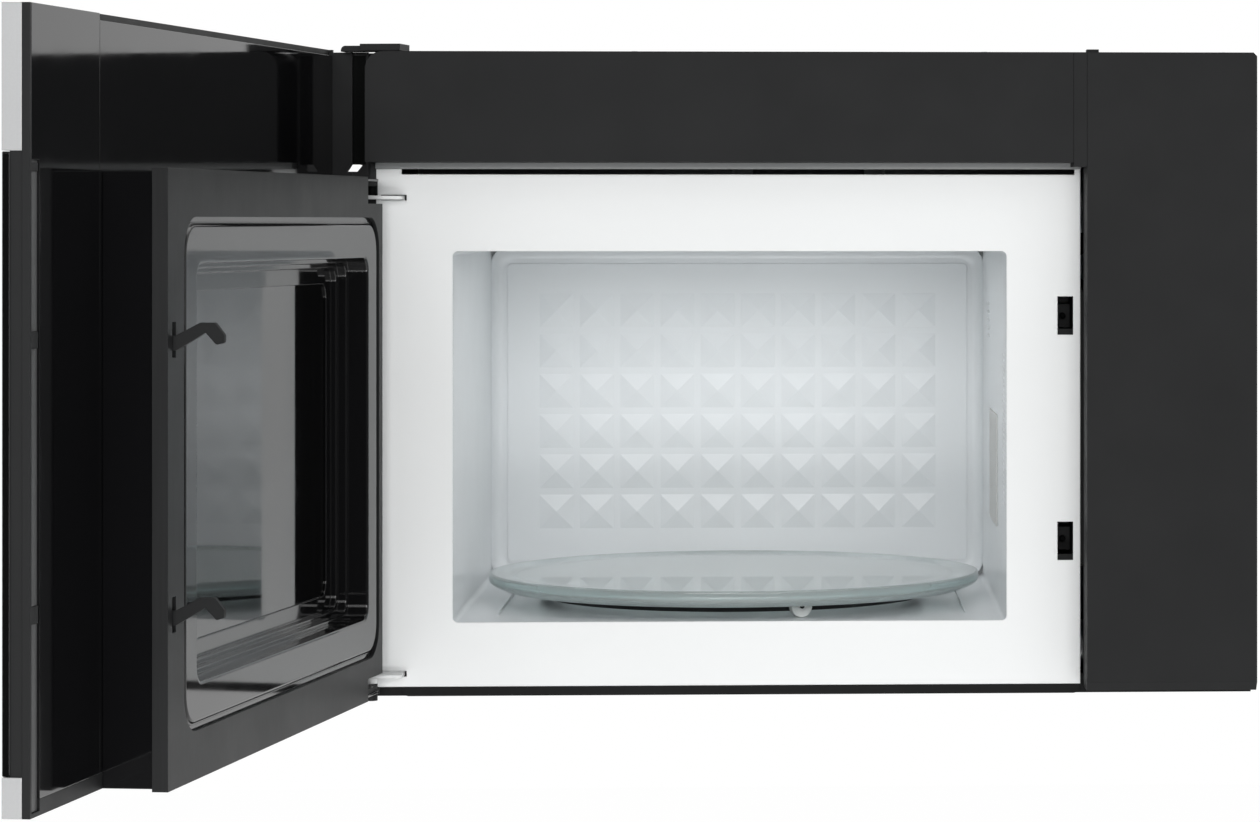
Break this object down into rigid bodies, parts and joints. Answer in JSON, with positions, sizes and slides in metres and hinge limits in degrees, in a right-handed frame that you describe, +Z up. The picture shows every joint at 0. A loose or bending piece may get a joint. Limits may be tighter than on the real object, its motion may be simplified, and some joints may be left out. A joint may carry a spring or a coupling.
{
  "type": "over-the-range microwave oven",
  "caption": "Over-the-range microwave with its door open: white face plate, enamelled cavity, glass turntable, two latch hooks and a vent blower.",
  "frame": {"origin": "on the back face, on the cabinet's centre line, level with the lower edge of the side cover", "axes": "+X to the right as seen from the front, +Y towards the wall, +Z up"},
  "size_m": [0.7352, 0.9872, 0.4444],
  "materials": {
    "case_paint": "satin",
    "front_black": "satin",
    "gloss_black": "gloss",
    "black_plastic": "matte",
    "white_enamel": "gloss",
    "grey_enamel": "satin",
    "grey_plastic": "satin",
    "stainless": "brushed",
    "white_plastic": "satin",
    "clear_glass": "clear",
    "dark_glass": "gloss",
    "window_sheet": "gloss",
    "screen_steel": "matte",
    "zinc_steel": "plain",
    "aluminium": "mill",
    "motor_steel": "satin",
    "board_green": "satin",
    "spring_steel": "plain",
    "mica": "matte"
  },
  "bodies": {
    "cabinet": {"back_plate": "zinc_steel", "base_pan": "case_paint", "blower_housing": "zinc_steel", "blower_motor": "motor_steel", "cavity_back": "grey_enamel", "cavity_lamp": "white_plastic", "cavity_shell": "grey_enamel", "cooktop_lamp_left": "white_plastic", "cooktop_lamp_right": "white_plastic", "cord_bushing": "black_plastic", "face_plate": "white_enamel", "fan_motor": "motor_steel", "fan_shroud": "black_plastic", "hinge_arm_lower": "white_enamel", "hinge_arm_upper": "white_enamel", "hv_capacitor": "aluminium", "hv_transformer": "motor_steel", "interlock_bracket": "black_plastic", "magnetron": "aluminium", "micro_switch_lower": "black_plastic", "micro_switch_upper": "black_plastic", "side_cover": "front_black", "strip_end": "front_black", "top_strip": "front_black", "turntable_motor": "motor_steel", "vent_sill": "grey_plastic", "waveguide": "zinc_steel", "waveguide_cover": "mica", "wrapper": "case_paint"},
    "turntable": {"turntable_coupler": "white_plastic", "glass_tray": "clear_glass"},
    "ring": {"roller_ring": "black_plastic"},
    "wheel_1": {"roller_1": "white_plastic"},
    "wheel_2": {"roller_2": "white_plastic"},
    "wheel_3": {"roller_3": "white_plastic"},
    "fan": {"fan_blade": "black_plastic"},
    "blower": {"blower_wheel_left": "black_plastic", "blower_wheel_right": "black_plastic"},
    "filter_left": {"grease_filter_left": "aluminium"},
    "filter_right": {"grease_filter_right": "aluminium"},
    "plunger_upper": {"switch_plunger_upper": "black_plastic"},
    "plunger_lower": {"switch_plunger_lower": "black_plastic"},
    "door": {"door_band_bottom": "stainless", "door_band_top": "stainless", "door_control_cover": "gloss_black", "door_edge_strip": "grey_plastic", "door_frame": "black_plastic", "door_glass": "dark_glass", "door_hinge_bracket_lower": "black_plastic", "door_hinge_bracket_upper": "black_plastic", "door_inner_box": "gloss_black", "door_inner_frame": "front_black", "door_rear_cover": "gloss_black", "door_screen": "screen_steel", "door_top_lever": "black_plastic", "door_window_frame": "gloss_black", "door_window_sheet": "window_sheet", "control_board": "board_green", "latch_spring": "spring_steel"},
    "latch": {"latch_bar": "black_plastic"}
  },
  "joints": [
    {"name": "door_hinge", "type": "hinge", "parent": "cabinet", "child": "door", "pos_m": [-0.2975, -0.396, 0.17], "axis": [0, 0, 1], "range_deg": [0, 98.8]},
    {"name": "latch_lift", "type": "slide", "parent": "door", "child": "latch", "axis": [0, 0, 1], "range_m": [0, 0.005], "stiffness_N_per_m": 300, "springref_m": -0.003, "deforming": ["latch_spring"]},
    {"name": "turntable_spin", "type": "hinge", "parent": "cabinet", "child": "turntable", "pos_m": [-0.0543, -0.2045, 0.05], "axis": [0, 0, 1], "continuous": true},
    {"name": "ring_spin", "type": "hinge", "parent": "cabinet", "child": "ring", "pos_m": [-0.0543, -0.2045, 0.05], "axis": [0, 0, 1], "continuous": true},
    {"name": "wheel_1_roll", "type": "hinge", "parent": "ring", "child": "wheel_1", "pos_m": [-0.00642, -0.33606, 0.0508], "axis": [0.342, -0.9397, 0], "continuous": true},
    {"name": "wheel_2_roll", "type": "hinge", "parent": "ring", "child": "wheel_2", "pos_m": [0.03569, -0.09725, 0.0508], "axis": [0.6428, 0.766, 0], "continuous": true},
    {"name": "wheel_3_roll", "type": "hinge", "parent": "ring", "child": "wheel_3", "pos_m": [-0.19217, -0.18019, 0.0508], "axis": [-0.9848, 0.1736, 0], "continuous": true},
    {"name": "fan_spin", "type": "hinge", "parent": "cabinet", "child": "fan", "pos_m": [0.232, -0.062, 0.25], "axis": [0, -1, 0], "continuous": true},
    {"name": "blower_spin", "type": "hinge", "parent": "cabinet", "child": "blower", "pos_m": [0, -0.068, 0.364], "axis": [1, 0, 0], "continuous": true},
    {"name": "filter_left_slide", "type": "slide", "parent": "cabinet", "child": "filter_left", "axis": [0, 1, 0], "range_m": [0, 0.012]},
    {"name": "filter_right_slide", "type": "slide", "parent": "cabinet", "child": "filter_right", "axis": [0, 1, 0], "range_m": [0, 0.012]},
    {"name": "plunger_upper_press", "type": "slide", "parent": "cabinet", "child": "plunger_upper", "axis": [0, 1, 0], "range_m": [0, 0.003], "stiffness_N_per_m": 150, "springref_m": -0.001},
    {"name": "plunger_lower_press", "type": "slide", "parent": "cabinet", "child": "plunger_lower", "axis": [0, 1, 0], "range_m": [0, 0.003], "stiffness_N_per_m": 150, "springref_m": -0.001}
  ],
  "couplings": [
    {"joint": "ring_spin", "follows": "turntable_spin", "ratio": 0.5},
    {"joint": "wheel_1_roll", "follows": "turntable_spin", "ratio": -9.3333},
    {"joint": "wheel_2_roll", "follows": "turntable_spin", "ratio": -9.3333},
    {"joint": "wheel_3_roll", "follows": "turntable_spin", "ratio": -9.3333}
  ]
}
